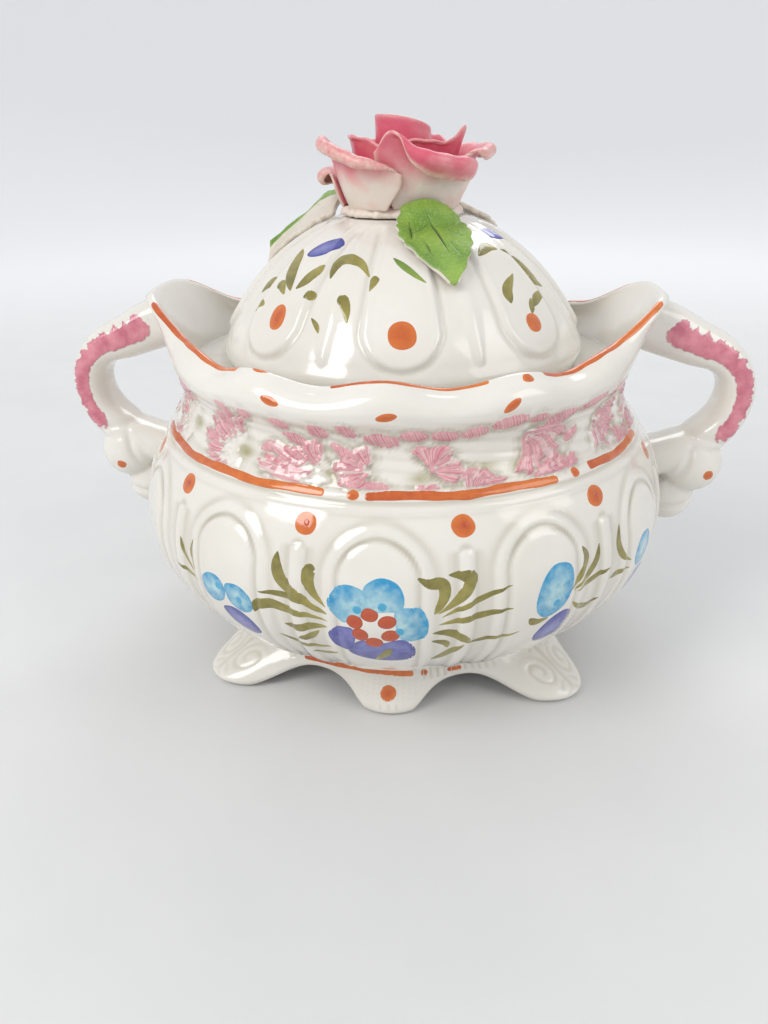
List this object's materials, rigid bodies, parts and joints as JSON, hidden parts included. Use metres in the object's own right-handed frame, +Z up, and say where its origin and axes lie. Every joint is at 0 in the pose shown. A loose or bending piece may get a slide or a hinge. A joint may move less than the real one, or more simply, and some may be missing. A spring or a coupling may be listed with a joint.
{
  "type": "lidded tureen",
  "caption": "Round footed ceramic tureen with scalloped spouted collar, strap handles with scrolls, and a domed lift-off lid with a modelled rose and leaves as its knob.",
  "frame": {"origin": "on the ground under the middle of the bowl", "axes": "+Z up, +X along the two handles to the right, front towards -Y"},
  "size_m": [0.2906, 0.224, 0.2188],
  "materials": {
    "white_glaze": "gloss",
    "rose_pink": "satin",
    "leaf_green": "satin"
  },
  "bodies": {
    "bowl": {"bowl": "white_glaze", "foot_skirt": "white_glaze", "handle_left": "white_glaze", "handle_right": "white_glaze"},
    "lid": {"lid": "white_glaze", "rose_pad": "rose_pink", "rose_bud": "rose_pink", "rose_coil": "rose_pink", "rose_inner_1": "rose_pink", "rose_inner_2": "rose_pink", "rose_inner_3": "rose_pink", "rose_outer_1": "rose_pink", "rose_outer_2": "rose_pink", "rose_outer_3": "rose_pink", "rose_outer_4": "rose_pink", "rose_outer_5": "rose_pink", "leaf_front": "leaf_green", "leaf_left": "leaf_green", "leaf_right": "leaf_green"}
  },
  "joints": [
    {"name": "lid_lift", "type": "slide", "parent": "bowl", "child": "lid", "axis": [0, 0, 1], "range_m": [0, 0.12]}
  ]
}
